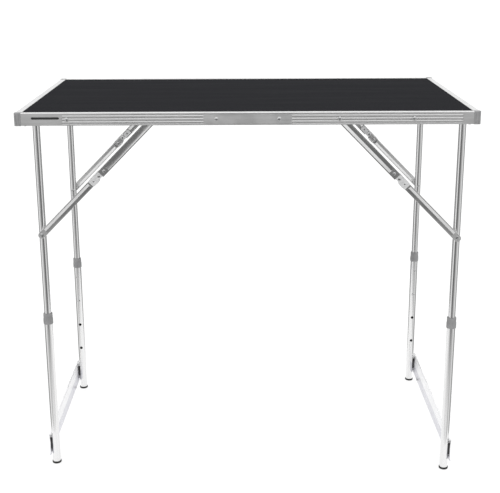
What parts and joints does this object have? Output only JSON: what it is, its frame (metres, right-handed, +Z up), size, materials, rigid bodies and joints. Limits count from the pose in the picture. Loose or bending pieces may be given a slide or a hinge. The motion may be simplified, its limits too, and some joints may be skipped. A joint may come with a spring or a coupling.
{
  "type": "folding table",
  "caption": "Folding table: framed black top on two leg frames that swing in under it, telescopic legs with snap buttons, folding side braces.",
  "frame": {"origin": "centre of the footprint, on the floor under the feet", "axes": "+X along the long side to the right, +Y to the back, +Z up"},
  "size_m": [1.0034, 0.6041, 0.8706],
  "materials": {
    "black_top": "fine-grained black laminate, satin",
    "rail_aluminium": "ribbed extrusion, satin anodised",
    "tube_aluminium": "bright drawn tube",
    "link_aluminium": "pressed channel, satin",
    "cross_aluminium": "bright rolled sheet",
    "knuckle_steel": "zinc plated",
    "rivet_steel": "plated, domed heads",
    "strip_steel": "zinc plated strip",
    "cap_plastic": "grey moulded plastic",
    "black_plastic": "black moulded plastic",
    "foot_rubber": "black rubber"
  },
  "bodies": {
    "top": {"tabletop_panel": "black_top", "front_rail": "rail_aluminium", "back_rail": "rail_aluminium", "left_end_rail": "rail_aluminium", "right_end_rail": "rail_aluminium", "corner_caps": "cap_plastic", "corner_cap_screws": "rivet_steel", "name_plate": "rail_aluminium", "stiffener_strips": "strip_steel", "rail_rivets": "rivet_steel", "leg_hinge_clamps": "cap_plastic", "brace_brackets": "strip_steel", "brace_bracket_rivets": "rivet_steel", "brace_top_pins": "rivet_steel"},
    "left_leg_frame": {"left_upper_leg_frame": "tube_aluminium", "left_brace_leg_pins": "rivet_steel"},
    "left_lower_legs": {"front_left_lower_tube": "tube_aluminium", "back_left_lower_tube": "tube_aluminium", "left_collars": "cap_plastic", "left_feet": "foot_rubber", "left_cross_panel": "cross_aluminium", "left_panel_saddles": "black_plastic", "left_cross_rivets": "rivet_steel"},
    "right_leg_frame": {"right_upper_leg_frame": "tube_aluminium", "right_brace_leg_pins": "rivet_steel"},
    "right_lower_legs": {"front_right_lower_tube": "tube_aluminium", "back_right_lower_tube": "tube_aluminium", "right_collars": "cap_plastic", "right_feet": "foot_rubber", "right_cross_panel": "cross_aluminium", "right_panel_saddles": "black_plastic", "right_cross_rivets": "rivet_steel"},
    "front_left_upper_link": {"front_left_upper_brace_link": "link_aluminium", "front_left_knuckle_tongue": "knuckle_steel", "front_left_knuckle_pins": "rivet_steel"},
    "front_left_lower_link": {"front_left_lower_brace_link": "link_aluminium", "front_left_knuckle_sleeve": "knuckle_steel", "front_left_sleeve_rivet": "rivet_steel"},
    "front_left_button": {"front_left_height_button": "rivet_steel"},
    "front_right_upper_link": {"front_right_upper_brace_link": "link_aluminium", "front_right_knuckle_tongue": "knuckle_steel", "front_right_knuckle_pins": "rivet_steel"},
    "front_right_lower_link": {"front_right_lower_brace_link": "link_aluminium", "front_right_knuckle_sleeve": "knuckle_steel", "front_right_sleeve_rivet": "rivet_steel"},
    "front_right_button": {"front_right_height_button": "rivet_steel"},
    "back_left_upper_link": {"back_left_upper_brace_link": "link_aluminium", "back_left_knuckle_tongue": "knuckle_steel", "back_left_knuckle_pins": "rivet_steel"},
    "back_left_lower_link": {"back_left_lower_brace_link": "link_aluminium", "back_left_knuckle_sleeve": "knuckle_steel", "back_left_sleeve_rivet": "rivet_steel"},
    "back_left_button": {"back_left_height_button": "rivet_steel"},
    "back_right_upper_link": {"back_right_upper_brace_link": "link_aluminium", "back_right_knuckle_tongue": "knuckle_steel", "back_right_knuckle_pins": "rivet_steel"},
    "back_right_lower_link": {"back_right_lower_brace_link": "link_aluminium", "back_right_knuckle_sleeve": "knuckle_steel", "back_right_sleeve_rivet": "rivet_steel"},
    "back_right_button": {"back_right_height_button": "rivet_steel"}
  },
  "joints": [
    {"name": "left_leg_fold", "type": "hinge", "parent": "top", "child": "left_leg_frame", "pos_m": [-0.47, 0, 0.8532], "axis": [0, -1, 0], "range_deg": [0, 90]},
    {"name": "left_height", "type": "slide", "parent": "left_leg_frame", "child": "left_lower_legs", "axis": [0, 0, -1], "range_m": [-0.14, 0.07], "deforming": ["front_left_height_button", "back_left_height_button"]},
    {"name": "right_leg_fold", "type": "hinge", "parent": "top", "child": "right_leg_frame", "pos_m": [0.47, 0, 0.8532], "axis": [0, 1, 0], "range_deg": [0, 90]},
    {"name": "right_height", "type": "slide", "parent": "right_leg_frame", "child": "right_lower_legs", "axis": [0, 0, -1], "range_m": [-0.14, 0.07], "deforming": ["front_right_height_button", "back_right_height_button"]},
    {"name": "front_left_brace_top", "type": "hinge", "parent": "top", "child": "front_left_upper_link", "pos_m": [-0.1975, -0.2415, 0.8565], "axis": [0, 1, 0], "range_deg": [0, 45]},
    {"name": "front_left_brace_leg", "type": "hinge", "parent": "left_leg_frame", "child": "front_left_lower_link", "pos_m": [-0.47, -0.2335, 0.5807], "axis": [0, -1, 0], "range_deg": [0, 44.5]},
    {"name": "front_left_button_press", "type": "slide", "parent": "left_leg_frame", "child": "front_left_button", "axis": [0, -1, 0], "range_m": [0, 0.004], "stiffness_N_per_m": 900},
    {"name": "front_right_brace_top", "type": "hinge", "parent": "top", "child": "front_right_upper_link", "pos_m": [0.1975, -0.2835, 0.8565], "axis": [0, -1, 0], "range_deg": [0, 45]},
    {"name": "front_right_brace_leg", "type": "hinge", "parent": "right_leg_frame", "child": "front_right_lower_link", "pos_m": [0.47, -0.2755, 0.5807], "axis": [0, 1, 0], "range_deg": [0, 44.5]},
    {"name": "front_right_button_press", "type": "slide", "parent": "right_leg_frame", "child": "front_right_button", "axis": [0, -1, 0], "range_m": [0, 0.004], "stiffness_N_per_m": 900},
    {"name": "back_left_brace_top", "type": "hinge", "parent": "top", "child": "back_left_upper_link", "pos_m": [-0.1975, 0.2415, 0.8565], "axis": [0, 1, 0], "range_deg": [0, 45]},
    {"name": "back_left_brace_leg", "type": "hinge", "parent": "left_leg_frame", "child": "back_left_lower_link", "pos_m": [-0.47, 0.2335, 0.5807], "axis": [0, -1, 0], "range_deg": [0, 44.5]},
    {"name": "back_left_button_press", "type": "slide", "parent": "left_leg_frame", "child": "back_left_button", "axis": [0, 1, 0], "range_m": [0, 0.004], "stiffness_N_per_m": 900},
    {"name": "back_right_brace_top", "type": "hinge", "parent": "top", "child": "back_right_upper_link", "pos_m": [0.1975, 0.2835, 0.8565], "axis": [0, -1, 0], "range_deg": [0, 45]},
    {"name": "back_right_brace_leg", "type": "hinge", "parent": "right_leg_frame", "child": "back_right_lower_link", "pos_m": [0.47, 0.2755, 0.5807], "axis": [0, 1, 0], "range_deg": [0, 44.5]},
    {"name": "back_right_button_press", "type": "slide", "parent": "right_leg_frame", "child": "back_right_button", "axis": [0, 1, 0], "range_m": [0, 0.004], "stiffness_N_per_m": 900}
  ],
  "couplings": [
    {"joint": "front_left_brace_top", "follows": "left_leg_fold", "ratio": 0.49841},
    {"joint": "front_left_brace_leg", "follows": "left_leg_fold", "ratio": 0.49075},
    {"joint": "front_right_brace_top", "follows": "right_leg_fold", "ratio": 0.49841},
    {"joint": "front_right_brace_leg", "follows": "right_leg_fold", "ratio": 0.49075},
    {"joint": "back_left_brace_top", "follows": "left_leg_fold", "ratio": 0.49841},
    {"joint": "back_left_brace_leg", "follows": "left_leg_fold", "ratio": 0.49075},
    {"joint": "back_right_brace_top", "follows": "right_leg_fold", "ratio": 0.49841},
    {"joint": "back_right_brace_leg", "follows": "right_leg_fold", "ratio": 0.49075}
  ]
}
